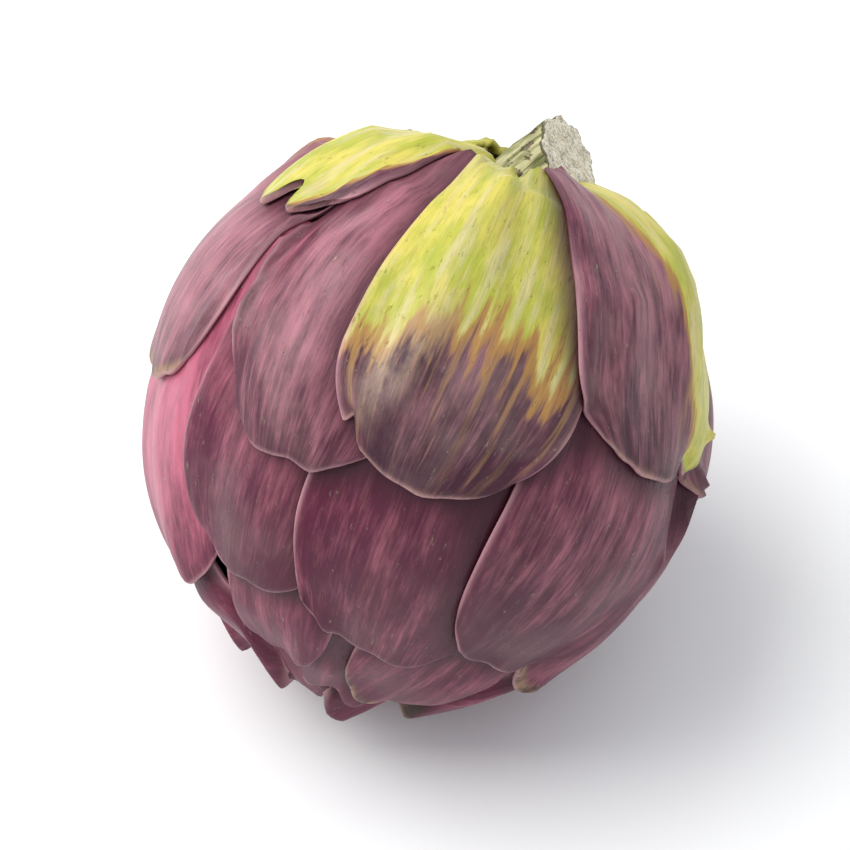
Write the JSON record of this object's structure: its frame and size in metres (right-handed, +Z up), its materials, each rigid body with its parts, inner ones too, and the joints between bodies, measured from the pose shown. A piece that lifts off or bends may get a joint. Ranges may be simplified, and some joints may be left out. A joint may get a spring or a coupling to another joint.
{
  "type": "artichoke",
  "caption": "Small round globe artichoke with overlapping purple bracts and a short cut stub of stem, lying on its side; a fresh vegetable for food scenes.",
  "frame": {"origin": "centre of the bounding box's footprint, on the surface that the head lies on", "axes": "+Z up from the surface; -Y towards the viewer; the head's axis leans, with the stem's stub up and back (+Y, +Z) and the closed tip down and forward (-Y, -Z)"},
  "size_m": [0.0688, 0.0682, 0.0652],
  "materials": {
    "cut_stem": "raw, fibrous cut",
    "inner_bracts": "satin, fleshy",
    "outer_bracts": "satin, fleshy"
  },
  "bodies": {
    "root": {"stem": "cut_stem", "heart": "inner_bracts", "bract_01": "outer_bracts", "bract_02": "outer_bracts", "bract_03": "outer_bracts", "bract_04": "outer_bracts", "bract_05": "outer_bracts", "bract_06": "outer_bracts", "bract_07": "outer_bracts", "bract_08": "outer_bracts", "bract_09": "outer_bracts", "bract_10": "outer_bracts", "bract_11": "outer_bracts", "bract_12": "outer_bracts", "bract_13": "outer_bracts", "bract_14": "outer_bracts", "bract_15": "outer_bracts", "bract_16": "outer_bracts", "bract_17": "outer_bracts", "bract_18": "outer_bracts", "bract_19": "outer_bracts", "bract_20": "outer_bracts", "bract_21": "outer_bracts", "bract_22": "outer_bracts", "bract_23": "outer_bracts", "bract_24": "outer_bracts"}
  },
  "joints": []
}
